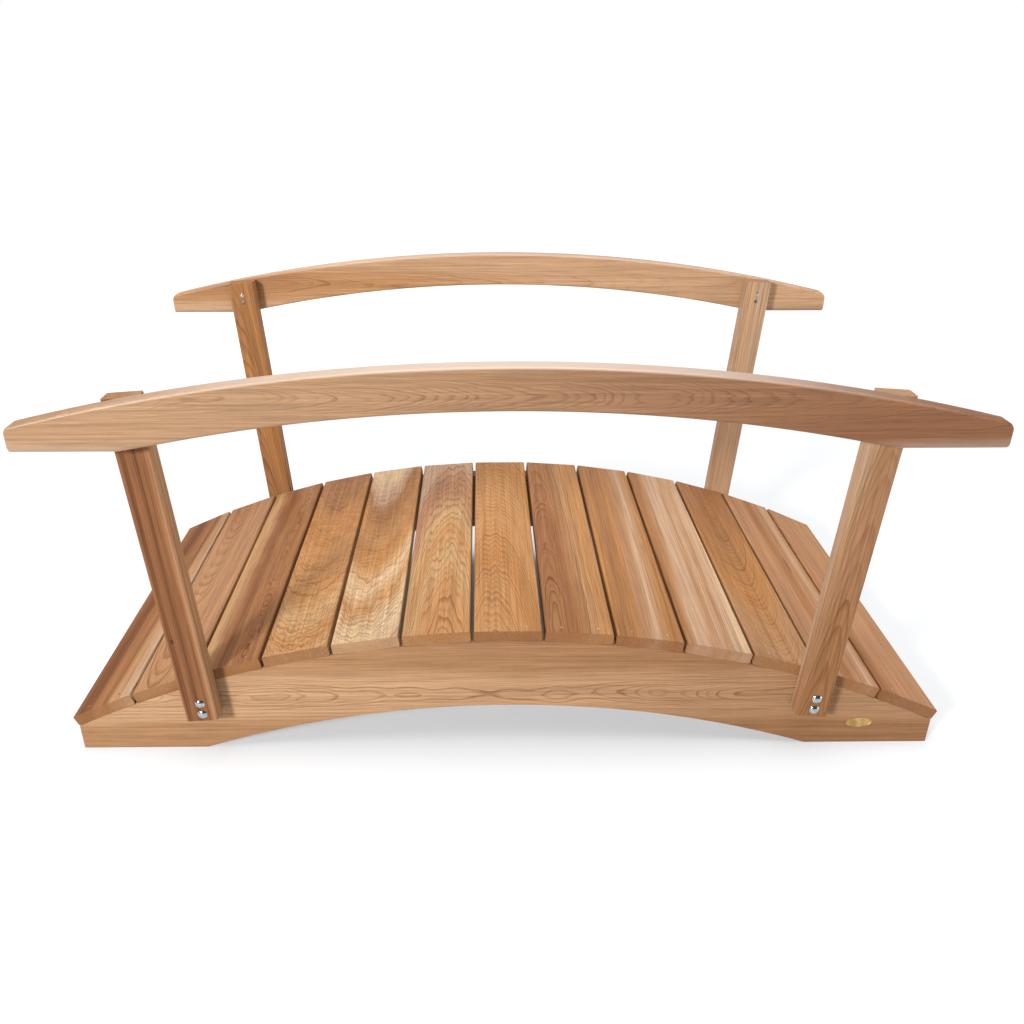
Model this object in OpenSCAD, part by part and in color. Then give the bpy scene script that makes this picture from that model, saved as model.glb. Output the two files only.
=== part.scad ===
// Arched garden footbridge in timber. Two curved side beams stand on level feet and carry
// flat boards laid across them along the curve. Four posts lean outwards on the beams' outer
// faces, and a bowed handrail runs along the outside of the posts on each side.
// Millimetres. X runs along the bridge, Y across it and Z up from the ground. The origin is
// on the ground, under the middle of the deck.

/* [Deck] */
// Number of boards along the deck
board_count = 13; // [10:1:16]
// Width of a board, along the bridge
board_width = 140; // [110:1:170]
// Thickness of a board
board_thickness = 25; // [18:0.5:40]
// Length of a board, across the bridge from one beam's outer face to the other's
board_length = 873; // [600:1:1400]
// Gap between two boards where they lie on the beams
board_gap = 6; // [3:0.5:15]
// Radius of a board's eased long edges
board_edge_radius = 4; // [1:0.5:8]

/* [Side beams] */
// Radius of the curve that the boards lie on
beam_top_radius = 2105; // [1700:5:2600]
// Thickness of a beam, across the bridge
beam_thickness = 38; // [25:0.5:60]
// Height of a beam's upright ends
beam_end_height = 59; // [40:1:90]
// Depth of a beam at the middle of the bridge
beam_crown_depth = 161; // [120:1:200]
// Length of each level foot
beam_foot_length = 266; // [150:1:400]

/* [Posts] */
// Width of a post, along the bridge
post_width = 66.5; // [40:0.5:90]
// Thickness of a post, across the bridge
post_thickness = 38; // [25:0.5:60]
// Length of a post between its square ends
post_length = 708; // [500:1:1000]
// Lean of a post away from the middle of the bridge, in degrees
post_lean = 4; // [0:0.1:10]
// Distance from the beam's end to the middle of the post's foot, along the bridge
post_end_distance = 278; // [180:1:350]
// Height of the middle of the post's foot above the ground
post_foot_height = 101.5; // [60:0.5:130]
// Radius of a post's rounded long edges
post_edge_radius = 5; // [1:0.5:10]

/* [Handrails] */
// Thickness of a rail, across the bridge
rail_thickness = 38; // [25:0.5:60]
// Reach of a rail past the middle of the post's top
rail_overhang = 196; // [80:1:300]
// Height of a rail's top edge over the middle of the post's top
rail_over_post = 2; // [0:0.5:20]
// Rise of a rail's top edge from its ends to the middle
rail_crown_rise = 107; // [70:1:160]
// Depth of a rail at the middle
rail_crown_depth = 80.5; // [60:0.5:100]
// Depth of a rail at its upright ends
rail_end_depth = 47; // [35:0.5:70]
// Length of the level underside at each end of a rail
rail_flat_length = 193; // [100:1:300]
// Radius of a rail's rounded long edges along its top
rail_edge_radius = 5; // [1:0.5:10]
// Radius of a rail's rounded edges round its ends and their level underside
rail_grip_radius = 11; // [2:0.5:15]
// Radius of a rail's rounded long edges under its bow
rail_bow_edge_radius = 6; // [1:0.5:10]
// Radius of the round on the upper corner of a rail's ends
rail_end_radius = 14; // [6:0.5:20]

/* [Hidden] */
// Steps round a full turn, on the long curves and on the small rounds
curve_steps = 360;
round_steps = 48;

// How far a cutting shape runs past what it cuts
overrun = 10;

// How far the circles that round a rail's upright edges stand out of it, so that they cut clear
edge_room = 1;

// Where the round on a rail's end starts and stops, in degrees up from level
end_round_from = 8;
end_round_to = 68;

// Timber colours
pale_cedar = [0.80, 0.63, 0.44];
red_cedar = [0.66, 0.46, 0.31];
deck_cedar = [0.72, 0.53, 0.36];

// Radius of the circle through both ends of a chord and the top of its rise
function arc_radius(half_chord, rise) = (half_chord ^ 2 + rise ^ 2) / (2 * rise);

// How far a circle has dropped below its top at a distance from its middle
function arc_drop(radius, reach) = radius - sqrt(radius ^ 2 - reach ^ 2);

// Angle in degrees that an arc of a given length takes on a circle
function arc_turn(length, radius) = length / radius * 180 / PI;

// The deck's curve: the boards and their gaps fill the beam's top from end to end
deck_arc = board_count * board_width + (board_count - 1) * board_gap;
half_turn = arc_turn(deck_arc / 2, beam_top_radius);
board_turn = arc_turn(board_width + board_gap, beam_top_radius);
half_length = beam_top_radius * sin(half_turn);
crown_height = beam_end_height + arc_drop(beam_top_radius, half_length);
curve_centre_z = crown_height - beam_top_radius;

// The beam's underside
arch_half_span = half_length - beam_foot_length;
arch_rise = crown_height - beam_crown_depth;
arch_radius = arc_radius(arch_half_span, arch_rise);

// The posts' ends, on their middle lines
post_foot_x = half_length - post_end_distance;
post_top_x = post_foot_x + post_length * sin(post_lean);
post_top_z = post_foot_height + post_length * cos(post_lean);

// The rail's curves
rail_half_length = post_top_x + rail_overhang;
rail_top_radius = arc_radius(rail_half_length, rail_crown_rise);
rail_crown_z = post_top_z + rail_over_post + arc_drop(rail_top_radius, post_top_x);
rail_base_z = rail_crown_z - rail_crown_rise - rail_end_depth;
rail_arch_half_span = rail_half_length - rail_flat_length;
rail_arch_rise = rail_crown_rise + rail_end_depth - rail_crown_depth;
rail_arch_radius = arc_radius(rail_arch_half_span, rail_arch_rise);

// Middles of the pieces across the bridge, each seated on the one inside it
beam_y = board_length / 2 - beam_thickness / 2;
post_y = board_length / 2 + post_thickness / 2;
rail_y = board_length / 2 + post_thickness + rail_thickness / 2;

// Names, with the side of the bridge (-1 front, 1 back) and the end (-1 left, 1 right)
SIDES = [["front", -1], ["back", 1]];
ENDS = [["left", -1], ["right", 1]];
function board_name(i) = str("deck_board_", i < 10 ? "0" : "", i);

// A rectangle with rounded corners, about its middle
module eased_rectangle(width, height, radius) {
    square([width - 2 * radius, height], center = true);
    square([width, height - 2 * radius], center = true);
    for (x = [-1, 1], y = [-1, 1])
        translate([x * (width / 2 - radius), y * (height / 2 - radius)])
            circle(radius, $fn = round_steps);
}

// Stands an outline drawn in X and Y upright in X and Z, with its thickness across the bridge
module upright(thickness) {
    rotate([90, 0, 0])
        linear_extrude(thickness, center = true)
            children();
}

// Turns a profile, drawn at its radius, through an arc over the middle of the bridge
module bowed(half_angle) {
    rotate([90, 0, 0])
        rotate([0, 0, 90 - half_angle])
            rotate_extrude(angle = 2 * half_angle, $fn = curve_steps)
                children();
}

// A side beam: convex along its top, upright at its ends, arched between two level feet
module beam(side) {
    color(pale_cedar)
        translate([0, side * beam_y, 0])
            upright(beam_thickness)
                difference() {
                    intersection() {
                        translate([-half_length, 0])
                            square([2 * half_length, crown_height + overrun]);
                        translate([0, curve_centre_z])
                            circle(beam_top_radius, $fn = curve_steps);
                    }
                    translate([0, arch_rise - arch_radius])
                        circle(arch_radius, $fn = curve_steps);
                }
}

// A deck board, laid flat where its middle touches the curve
module deck_board(i) {
    color(deck_cedar)
        translate([0, 0, curve_centre_z])
            rotate([0, (i - (board_count + 1) / 2) * board_turn, 0])
                translate([0, 0, beam_top_radius + board_thickness / 2])
                    upright(board_length)
                        eased_rectangle(board_width, board_thickness, board_edge_radius);
}

// A post with square ends, flat on the beam's outer face and leaning along the bridge
module post(side, end) {
    color(red_cedar)
        translate([end * post_foot_x, side * post_y, post_foot_height])
            rotate([0, end * post_lean, 0])
                linear_extrude(post_length)
                    eased_rectangle(post_width, post_thickness, post_edge_radius);
}

// The rail's bowed top, with its long edges rounded and depth to spare below
module rail_top_form() {
    depth = 2 * rail_crown_depth;
    translate([0, 0, rail_crown_z - rail_top_radius])
        bowed(asin((rail_half_length + overrun) / (rail_top_radius - depth)))
            translate([rail_top_radius - depth / 2, 0])
                eased_rectangle(depth, rail_thickness, rail_edge_radius);
}

// The rail's upright ends and level underside, with the lower long edges rounded
module rail_straight_form() {
    height = rail_crown_z - rail_base_z + rail_grip_radius + overrun;
    translate([0, 0, rail_base_z + height / 2])
        rotate([90, 0, 90])
            linear_extrude(2 * rail_half_length, center = true)
                eased_rectangle(rail_thickness, height, rail_grip_radius);
}

// What is cut away under the rail's bow, flared to round the lower long edges
module rail_underside_cut() {
    depth = rail_arch_rise + rail_bow_edge_radius + overrun;
    backing = 2 * rail_bow_edge_radius + overrun;
    translate([0, 0, rail_base_z + rail_arch_rise - rail_arch_radius])
        bowed(asin((rail_arch_half_span + overrun) / rail_arch_radius))
            difference() {
                translate([rail_arch_radius + rail_bow_edge_radius - depth / 2, 0])
                    square([depth, rail_thickness + 2 * overrun], center = true);
                translate([rail_arch_radius + backing / 2, 0])
                    eased_rectangle(backing, rail_thickness, rail_bow_edge_radius);
            }
}

// What is cut away to round the upper corner at the rail's right end
module rail_corner_cut() {
    middle_x = rail_half_length - rail_end_radius * cos(end_round_from);
    round_x = middle_x + rail_end_radius * cos(end_round_to);
    round_z = rail_crown_z - arc_drop(rail_top_radius, round_x);
    middle_z = round_z - rail_end_radius * sin(end_round_to);
    steep = 90 - asin(round_x / rail_top_radius);
    reach = rail_end_radius + overrun;
    upright(rail_thickness + 2 * overrun)
        difference() {
            polygon([
                [middle_x, middle_z],
                [middle_x + reach, middle_z],
                [middle_x + reach, middle_z + reach],
                [middle_x + reach * cos(steep), middle_z + reach * sin(steep)]
            ]);
            translate([middle_x, middle_z])
                circle(rail_end_radius, $fn = round_steps);
        }
}

// What is cut away to round the upright edges at the rail's right end
module rail_edge_cut() {
    inset = rail_grip_radius - edge_room;
    reach = rail_grip_radius + overrun;
    for (side = [-1, 1])
        translate([rail_half_length - inset, side * (rail_thickness / 2 - inset), rail_base_z - overrun])
            linear_extrude(rail_crown_z - rail_base_z + 2 * overrun)
                difference() {
                    polygon([[0, 0], [reach, 0], [reach, side * reach], [0, side * reach]]);
                    circle(rail_grip_radius, $fn = round_steps);
                }
}

// A handrail, flat on the posts' outer faces: bowed over and under, level below its ends
module handrail(side) {
    color(pale_cedar)
        translate([0, side * rail_y, 0])
            difference() {
                intersection() {
                    rail_straight_form();
                    rail_top_form();
                }
                rail_underside_cut();
                rail_corner_cut();
                rail_edge_cut();
                mirror([1, 0, 0]) {
                    rail_corner_cut();
                    rail_edge_cut();
                }
            }
}

for (s = SIDES)
    beam(s[1]);
for (i = [1 : board_count])
    deck_board(i);
for (s = SIDES, e = ENDS)
    post(s[1], e[1]);
for (s = SIDES)
    handrail(s[1]);
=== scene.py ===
"""Looks of an arched garden footbridge in planed, unfinished red cedar.

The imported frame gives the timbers. Each one is dressed in cedar with the figure of its own log. The
two handrails are modelled again over the frame's own, for smoother rounded edges. The small ironwork
is modelled and seated on the timbers, and a plain studio is set round the bridge. Metres, in the
frame's own axes: X along the bridge, Y across it, Z up.
"""

import logging
import math
import random
from collections.abc import Iterator, Mapping, Sequence
from dataclasses import dataclass, field
from enum import Enum
from typing import Any, ClassVar, Union

import bmesh
import bpy
from mathutils import Matrix, Vector


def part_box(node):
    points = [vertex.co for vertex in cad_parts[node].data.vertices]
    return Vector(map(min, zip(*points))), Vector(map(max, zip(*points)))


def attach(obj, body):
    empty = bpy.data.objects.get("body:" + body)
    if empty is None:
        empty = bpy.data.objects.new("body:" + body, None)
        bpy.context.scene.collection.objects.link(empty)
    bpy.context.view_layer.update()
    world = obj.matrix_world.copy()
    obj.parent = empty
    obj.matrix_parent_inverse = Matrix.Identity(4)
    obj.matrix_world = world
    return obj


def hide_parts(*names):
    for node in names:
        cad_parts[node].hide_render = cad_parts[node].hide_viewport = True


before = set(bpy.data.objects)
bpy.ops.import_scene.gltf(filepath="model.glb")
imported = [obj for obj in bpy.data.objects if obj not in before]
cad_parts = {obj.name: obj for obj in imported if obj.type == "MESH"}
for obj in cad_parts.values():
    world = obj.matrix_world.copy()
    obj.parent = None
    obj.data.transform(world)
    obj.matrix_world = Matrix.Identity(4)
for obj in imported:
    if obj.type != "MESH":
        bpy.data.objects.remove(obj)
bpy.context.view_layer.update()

LOG = logging.getLogger("footbridge")
BODY = "root"
MILLI = 0.001
HAIR = 0.001 * MILLI
WHITE = "FFFFFF"
SHARP_ANGLE = math.radians(35)
DOME_FINENESS = 4

Value = Union["Signal", float]


class Side(Enum):
    """The two long sides of the bridge, with their sign along Y."""

    FRONT = -1
    BACK = 1

    @property
    def word(self) -> str:
        """Gives the side's word in the names of pieces."""
        return self.name.lower()


class End(Enum):
    """The two ends of the bridge, with their sign along X."""

    LEFT = -1
    RIGHT = 1

    @property
    def word(self) -> str:
        """Gives the end's word in the names of pieces."""
        return self.name.lower()


class LightUse(Enum):
    """What a softbox does: it lights the bridge, is mirrored in its sheen, or both."""

    LIGHT = "light"
    SHEEN = "sheen"
    BOTH = "both"


class Tone(Enum):
    """Tones that red cedar takes from pale sapwood to dark heartwood."""

    PEARL = "C2AE9F"
    CREAM = "AF9574"
    BLUSH = "A2846A"
    PEACH = "A78463"
    BLOND = "A18059"
    HONEY = "9D7248"
    AMBER = "95683D"
    WHEAT = "957455"
    TAN = "946F4E"
    ROSE = "91694C"
    CHESTNUT = "865D3B"
    UMBER = "7C5235"
    RUSSET = "714A2F"
    WALNUT = "603C24"
    BARK = "3E2417"
    RESIN = "AE8159"

    def paint(self) -> tuple[float, float, float, float]:
        """Gives the tone as the linear colour that shaders use."""
        return linear(self.value)


def linear(code: str) -> tuple[float, float, float, float]:
    """Turns a colour as painters write it into the linear one that shaders use.

    Args:
        code: Six hexadecimal digits, two each for red, green and blue.

    Returns:
        Linear red, green and blue, with full opacity.
    """
    parts = [int(code[i:i + 2], 16) / 255 for i in (0, 2, 4)]
    curved = [p / 12.92 if p <= 0.04045 else ((p + 0.055) / 1.055) ** 2.4 for p in parts]
    return (curved[0], curved[1], curved[2], 1.0)


def shades(names: str) -> tuple[Tone, ...]:
    """Reads a row of tones from their names."""
    return tuple(Tone[name] for name in names.split())


class Signal:
    """A number in a shader. Python's operators on it add Math nodes."""

    def __init__(self, tree: "ShaderTree", socket: bpy.types.NodeSocket) -> None:
        """Wraps one output socket of a tree."""
        self.tree = tree
        self.socket = socket

    def math(self, operation: str, *operands: Value) -> "Signal":
        """Adds one Math node.

        Args:
            operation: The node's operation.
            operands: What goes into its sockets, in order.

        Returns:
            The node's result.
        """
        node = self.tree.add("ShaderNodeMath", {"operation": operation}, dict(enumerate(operands)))
        return Signal(self.tree, node.outputs[0])

    def __add__(self, other: Value) -> "Signal":
        """Adds a number or a signal."""
        return self.math("ADD", self, other)

    def __radd__(self, other: Value) -> "Signal":
        """Adds this to a number."""
        return self.math("ADD", other, self)

    def __sub__(self, other: Value) -> "Signal":
        """Takes a number or a signal away."""
        return self.math("SUBTRACT", self, other)

    def __rsub__(self, other: Value) -> "Signal":
        """Takes this away from a number."""
        return self.math("SUBTRACT", other, self)

    def __mul__(self, other: Value) -> "Signal":
        """Multiplies by a number or a signal."""
        return self.math("MULTIPLY", self, other)

    def __rmul__(self, other: Value) -> "Signal":
        """Multiplies a number by this."""
        return self.math("MULTIPLY", other, self)

    def __truediv__(self, other: Value) -> "Signal":
        """Divides by a number or a signal."""
        return self.math("DIVIDE", self, other)

    def root(self) -> "Signal":
        """Takes the square root."""
        return self.math("SQRT", self)

    def size(self) -> "Signal":
        """Drops the sign."""
        return self.math("ABSOLUTE", self)

    def whole(self) -> "Signal":
        """Rounds down to a whole number."""
        return self.math("FLOOR", self)

    def part(self) -> "Signal":
        """Keeps what is over a whole number."""
        return self.math("FRACT", self)

    def rise(self, low: float, high: float) -> "Signal":
        """Turns a range into a smooth step.

        Args:
            low: Where the step starts from 0.
            high: Where it reaches 1.

        Returns:
            The step, from 0 to 1.
        """
        node = self.tree.add(
            "ShaderNodeMapRange",
            {"interpolation_type": "SMOOTHSTEP", "clamp": True},
            {"Value": self, "From Min": low, "From Max": high},
        )
        return Signal(self.tree, node.outputs[0])


class ShaderTree:
    """The node tree of a new material or of the world."""

    SEED_STEPS: ClassVar[tuple[float, ...]] = (3.1, 7.3, 5.9)
    NOISE_ROUGHNESS: ClassVar[float] = 0.55

    def __init__(self, holder: bpy.types.Material | bpy.types.World) -> None:
        """Takes over the holder's tree and empties it.

        Args:
            holder: A new material or world.
        """
        holder.use_nodes = True
        self.holder = holder
        self.nodes = holder.node_tree.nodes
        self.links = holder.node_tree.links
        self.nodes.clear()

    def add(
        self,
        kind: str,
        settings: Mapping[str, Any] | None = None,
        inputs: Mapping[str | int, Any] | None = None,
    ) -> bpy.types.Node:
        """Adds a node.

        Args:
            kind: The node's type.
            settings: The node's own settings, set first. A ramp's stops are pairs of place and colour.
            inputs: Values or links of its sockets, by name or by number.

        Returns:
            The new node.
        """
        node = self.nodes.new(kind)
        for key, value in (settings or {}).items():
            if key == "stops":
                self._set_stops(node.color_ramp, value)
            else:
                setattr(node, key, value)
        for key, value in (inputs or {}).items():
            self._feed(self._socket(node, key), value)
        return node

    @staticmethod
    def _set_stops(ramp: bpy.types.ColorRamp, stops: Sequence[tuple[float, Sequence[float]]]) -> None:
        """Sets a colour ramp's stops.

        Args:
            ramp: The ramp of a new node.
            stops: Pairs of place and linear colour, in rising order.
        """
        while len(ramp.elements) < len(stops):
            ramp.elements.new(1.0)
        for element, (place, colour) in zip(ramp.elements, stops):
            element.position = place
            element.color = colour

    @staticmethod
    def _socket(node: bpy.types.Node, key: str | int) -> bpy.types.NodeSocket:
        """Finds an input socket in use.

        Args:
            node: The node.
            key: The socket's name or number.

        Returns:
            The socket.
        """
        if isinstance(key, int):
            return node.inputs[key]
        return next(s for s in node.inputs if s.name == key and s.enabled)

    def _feed(self, socket: bpy.types.NodeSocket, value: Any) -> None:
        """Links a socket or sets its value.

        Args:
            socket: An input socket.
            value: A signal or an output socket to link it to, or a plain value.
        """
        source = value.socket if isinstance(value, Signal) else value
        if isinstance(source, bpy.types.NodeSocket):
            self.links.new(source, socket)
        else:
            socket.default_value = source

    def noise(
        self,
        vector: bpy.types.NodeSocket,
        rates: Sequence[float],
        seed: float,
        detail: float = 2.0,
    ) -> Signal:
        """Adds cloudy noise that is stretched along the axes.

        Args:
            vector: The place on the surface.
            rates: Cycles in a metre along each axis.
            seed: Moves to another part of the noise.
            detail: Octaves of finer noise.

        Returns:
            The noise, from 0 to 1 about a half.
        """
        stretched = self.add(
            "ShaderNodeVectorMath",
            {"operation": "MULTIPLY_ADD"},
            {0: vector, 1: tuple(rates), 2: tuple(seed * step for step in self.SEED_STEPS)},
        )
        node = self.add(
            "ShaderNodeTexNoise",
            {"noise_dimensions": "3D"},
            {
                "Vector": stretched.outputs[0],
                "Scale": 1.0,
                "Detail": detail,
                "Roughness": self.NOISE_ROUGHNESS,
            },
        )
        return Signal(self, node.outputs[0])

    def combine(self, x: Value, y: Value, z: Value) -> bpy.types.NodeSocket:
        """Joins three numbers into a vector."""
        return self.add("ShaderNodeCombineXYZ", None, {0: x, 1: y, 2: z}).outputs[0]

    def mix(
        self,
        factor: Value,
        first: Any,
        second: Any,
        blend: str = "MIX",
    ) -> bpy.types.NodeSocket:
        """Mixes two colours.

        Args:
            factor: How much of the second is taken.
            first: The colour underneath.
            second: The colour on top.
            blend: The way of mixing.

        Returns:
            The mixed colour.
        """
        node = self.add(
            "ShaderNodeMix",
            {"data_type": "RGBA", "blend_type": blend},
            {"Factor": factor, "A": first, "B": second},
        )
        return next(s for s in node.outputs if s.enabled)

    def brighten(self, colour: bpy.types.NodeSocket, factor: Value) -> bpy.types.NodeSocket:
        """Multiplies a colour's brightness by a number."""
        node = self.add("ShaderNodeVectorMath", {"operation": "SCALE"}, {0: colour, "Scale": factor})
        return node.outputs[0]

    def bump(self, height: Value, strength: float, distance: float) -> bpy.types.NodeSocket:
        """Turns a height into a surface normal.

        Args:
            height: The relief, from 0 to 1.
            strength: How much of it shows.
            distance: The relief's depth in metres.

        Returns:
            The normal.
        """
        node = self.add(
            "ShaderNodeBump", None, {"Height": height, "Strength": strength, "Distance": distance}
        )
        return node.outputs[0]

    def surface(self, inputs: Mapping[str | int, Any]) -> bpy.types.Material:
        """Ends the tree with a Principled surface.

        Args:
            inputs: Values or links of the Principled shader's sockets.

        Returns:
            The finished material.
        """
        shader = self.add("ShaderNodeBsdfPrincipled", None, inputs)
        self.add("ShaderNodeOutputMaterial", None, {"Surface": shader.outputs[0]})
        return self.holder


class Grain(Enum):
    """Which way a timber's grain runs: the axes along it, across it, and in from its show face."""

    ALONG_BRIDGE = ((0, 1), (2, 1), (1, 1))
    ACROSS_BRIDGE = ((1, 1), (0, 1), (2, -1))
    UPRIGHT = ((2, 1), (0, 1), (1, 1))


@dataclass(frozen=True)
class TimberPlace:
    """Where a timber lies in the frame, and how its grain runs there."""

    centre: Vector
    half_length: float
    half_width: float
    half_depth: float
    grain: Grain
    tilt: float = 0.0
    crown_radius: float = 0.0

    @classmethod
    def along_bridge(cls, name: str, crown_radius: float = 0.0) -> "TimberPlace":
        """Places a timber that runs along the bridge.

        Args:
            name: The timber's node.
            crown_radius: The radius of its bowed top, where that is needed.

        Returns:
            Its place.
        """
        low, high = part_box(name)
        half = (high - low) / 2
        return cls((low + high) / 2, half.x, half.z, half.y, Grain.ALONG_BRIDGE, 0.0, crown_radius)

    def spot(self, tree: ShaderTree) -> tuple[Signal, Signal, Signal]:
        """Reads the place on the timber in its own axes.

        Args:
            tree: The material's tree.

        Returns:
            Metres along, across and into the timber from its middle.
        """
        place = tree.add("ShaderNodeTexCoord").outputs["Object"]
        local = tree.add(
            "ShaderNodeMapping",
            {"vector_type": "TEXTURE"},
            {"Vector": place, "Location": tuple(self.centre), "Rotation": (0.0, self.tilt, 0.0)},
        )
        axes = tree.add("ShaderNodeSeparateXYZ", None, {0: local.outputs[0]})
        signals = [Signal(tree, axes.outputs[axis]) * sign for axis, sign in self.grain.value]
        return signals[0], signals[1], signals[2]

    def below_crown(self, along: Signal, across: Signal) -> Signal:
        """Gives how far a place lies below the timber's bowed top."""
        bend = (self.crown_radius ** 2 - along * along).root() - self.crown_radius
        return self.half_width + bend - across

    def grain_axis(self) -> Vector:
        """Works out which way the grain runs.

        Returns:
            Its direction in the frame.
        """
        axis = Vector((0.0, 0.0, 0.0))
        axis[self.grain.value[0][0]] = 1.0
        return Matrix.Rotation(self.tilt, 3, "Y") @ axis


@dataclass(frozen=True)
class Knot:
    """A knot or a dark fleck, by its place from the timber's middle and its half sizes."""

    along: float
    across: float
    half_length: float
    half_width: float
    strength: float = 0.85


@dataclass(frozen=True)
class Cedar:
    """Planed red cedar as sawn from one log.

    The rings are drawn round the log's pith, which runs under the show face. Where the pith leans or
    bows, the face cuts across rings and shows arches, loops or chevrons. Off to the side it cuts them
    edge on and shows straight lines. Rates are cycles in a metre along, across and into the timber,
    reaches are shares of its half length, and depths are metres in from an edge.
    """

    BROAD_RATES: ClassVar[tuple[float, ...]] = (1.4, 75.0, 75.0)
    BAND_RATES: ClassVar[tuple[float, ...]] = (3.5, 210.0, 210.0)
    FIBRE_RATES: ClassVar[tuple[float, ...]] = (14.0, 620.0, 620.0)
    FLAME_RATES: ClassVar[tuple[float, ...]] = (70.0, 26.0, 26.0)
    FRAY_RATES: ClassVar[tuple[float, ...]] = (10.0, 160.0, 160.0)
    CALM_SHARES: ClassVar[tuple[float, float]] = (0.3, 0.55)
    FADE_REACH: ClassVar[tuple[float, float]] = (-0.5, 0.8)
    CREST_REACH: ClassVar[float] = 1.1
    CREST_DEPTH: ClassVar[tuple[float, float]] = (0.001, 0.006)
    GRIP_REACH: ClassVar[tuple[float, float]] = (0.7, 0.82)
    GRIP_DEPTH: ClassVar[tuple[float, float]] = (0.002, 0.026)
    END_TURN: ClassVar[tuple[float, float]] = (0.75, 0.95)
    STREAK_DETAIL: ClassVar[float] = 3.0
    FIBRE_ROUGHNESS: ClassVar[float] = 0.16
    LATE_POLISH: ClassVar[float] = 0.1
    END_ROUGHNESS: ClassVar[float] = 0.12
    RELIEF_SHOW: ClassVar[float] = 0.25
    RELIEF_DEPTH: ClassVar[float] = 0.4 * MILLI
    ZIGZAG_SWAY: ClassVar[float] = 1.5
    ZIGZAG_STOP: ClassVar[tuple[float, float]] = (-0.02, 0.01)
    SPREAD_RATES: ClassVar[tuple[float, ...]] = (0.35, 1.0, 1.0)
    YEAR_SPREAD: ClassVar[float] = 2.4
    FAINTEST_LINE: ClassVar[float] = 0.3
    LINE_PEAK: ClassVar[float] = 0.93
    LINE_END: ClassVar[tuple[float, float]] = (0.95, 1.0)
    KNOT_EDGE: ClassVar[tuple[float, float]] = (0.25, 1.0)

    seed: float
    tones: tuple[Tone, ...]
    pith_across: float = -0.3
    pith_depth: float = 0.05
    lean_across: float = 0.0
    lean_depth: float = 0.0
    bow: float = 0.0
    ring: float = 0.0045
    wander: float = 0.004
    wander_rate: float = 3.0
    ripple: float = 0.002
    ripple_along: float = 2.0
    ripple_across: float = 25.0
    fray: float = 0.0006
    zigzag: float = 0.0
    zigzag_rate: float = 33.0
    line: float = 0.5
    line_from: float = 0.42
    calm: float = 0.0
    curl: float = 0.08
    streak: float = 0.3
    thread: float = 1.05
    fuzz: float = 0.65
    drift: float = 0.16
    fade: float = 0.0
    # Strength of a painted highlight along the top of a bowed rail
    crest: float = 0.0
    # Strength of a painted reflection of the floor under the rail's level ends
    grip: float = 0.0
    end_tone: Tone = Tone.CHESTNUT
    end_share: float = 0.65
    knots: tuple[Knot, ...] = ()
    roughness: float = 0.58
    gloss: float = 0.1

    def material(self, name: str, place: TimberPlace) -> bpy.types.Material:
        """Makes the finish for one timber.

        Args:
            name: The material's name.
            place: Where the timber lies.

        Returns:
            The material.
        """
        tree = ShaderTree(bpy.data.materials.new(name))
        along, across, into = place.spot(tree)
        grain = tree.combine(along, across, into)
        broad = tree.noise(grain, self.BROAD_RATES, self.seed + 1, self.STREAK_DETAIL)
        band = tree.noise(grain, self.BAND_RATES, self.seed + 9, self.STREAK_DETAIL)
        fibre = tree.noise(grain, self.FIBRE_RATES, self.seed + 2)
        flame = tree.noise(grain, self.FLAME_RATES, self.seed + 3)
        radius = self._radius(tree, grain, along, across, into, place)
        near, far = self._reach(place)
        share = (radius - near) / (far - near)
        late = self._late_wood(tree, radius)
        if self.calm:
            late = late * (1.0 - self.calm * share.rise(*self.CALM_SHARES))
        colour = self._heartwood(tree, share + self.drift * (broad - 0.5))
        colour = tree.mix(late * self.line, colour, Tone.RESIN.paint(), "MULTIPLY")
        light = 1.0 + self.streak * (broad - 0.5) + self.thread * (band - 0.5)
        light = light + self.fuzz * (fibre - 0.5) + self.curl * (flame - 0.5)
        colour = tree.brighten(colour, light)
        colour = self._marked(tree, colour, along, across, place)
        end = self._turned_to(tree, place.grain_axis()).size().rise(*self.END_TURN)
        colour = tree.mix(end * self.end_share, colour, self.end_tone.paint())
        rough = self.roughness + self.FIBRE_ROUGHNESS * (fibre - 0.5)
        rough = rough - self.LATE_POLISH * late + self.END_ROUGHNESS * end
        return tree.surface({
            "Base Color": colour,
            "Roughness": rough,
            "Specular IOR Level": self.gloss,
            "Normal": tree.bump(0.5 * late + 0.5 * fibre, self.RELIEF_SHOW, self.RELIEF_DEPTH),
        })

    def _depth(self, along: Value) -> Value:
        """Gives how deep the pith lies under the show face at a place along the grain."""
        return self.pith_depth + self.lean_depth * along + self.bow * along * along

    def _side(self, along: Value, across: Value) -> Value:
        """Gives how far to the side of the pith a place lies."""
        return across - self.pith_across - self.lean_across * along

    def _reach(self, place: TimberPlace) -> tuple[float, float]:
        """Finds how near and how far the show face lies from the pith.

        Args:
            place: Where the timber lies.

        Returns:
            The least and the greatest distance.
        """
        middle = min(max(self.pith_across, -place.half_width), place.half_width)
        radii = [
            math.hypot(self._side(along, across), self._depth(along))
            for along in (-place.half_length, 0.0, place.half_length)
            for across in (-place.half_width, middle, place.half_width)
        ]
        return min(radii), max(radii)

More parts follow.
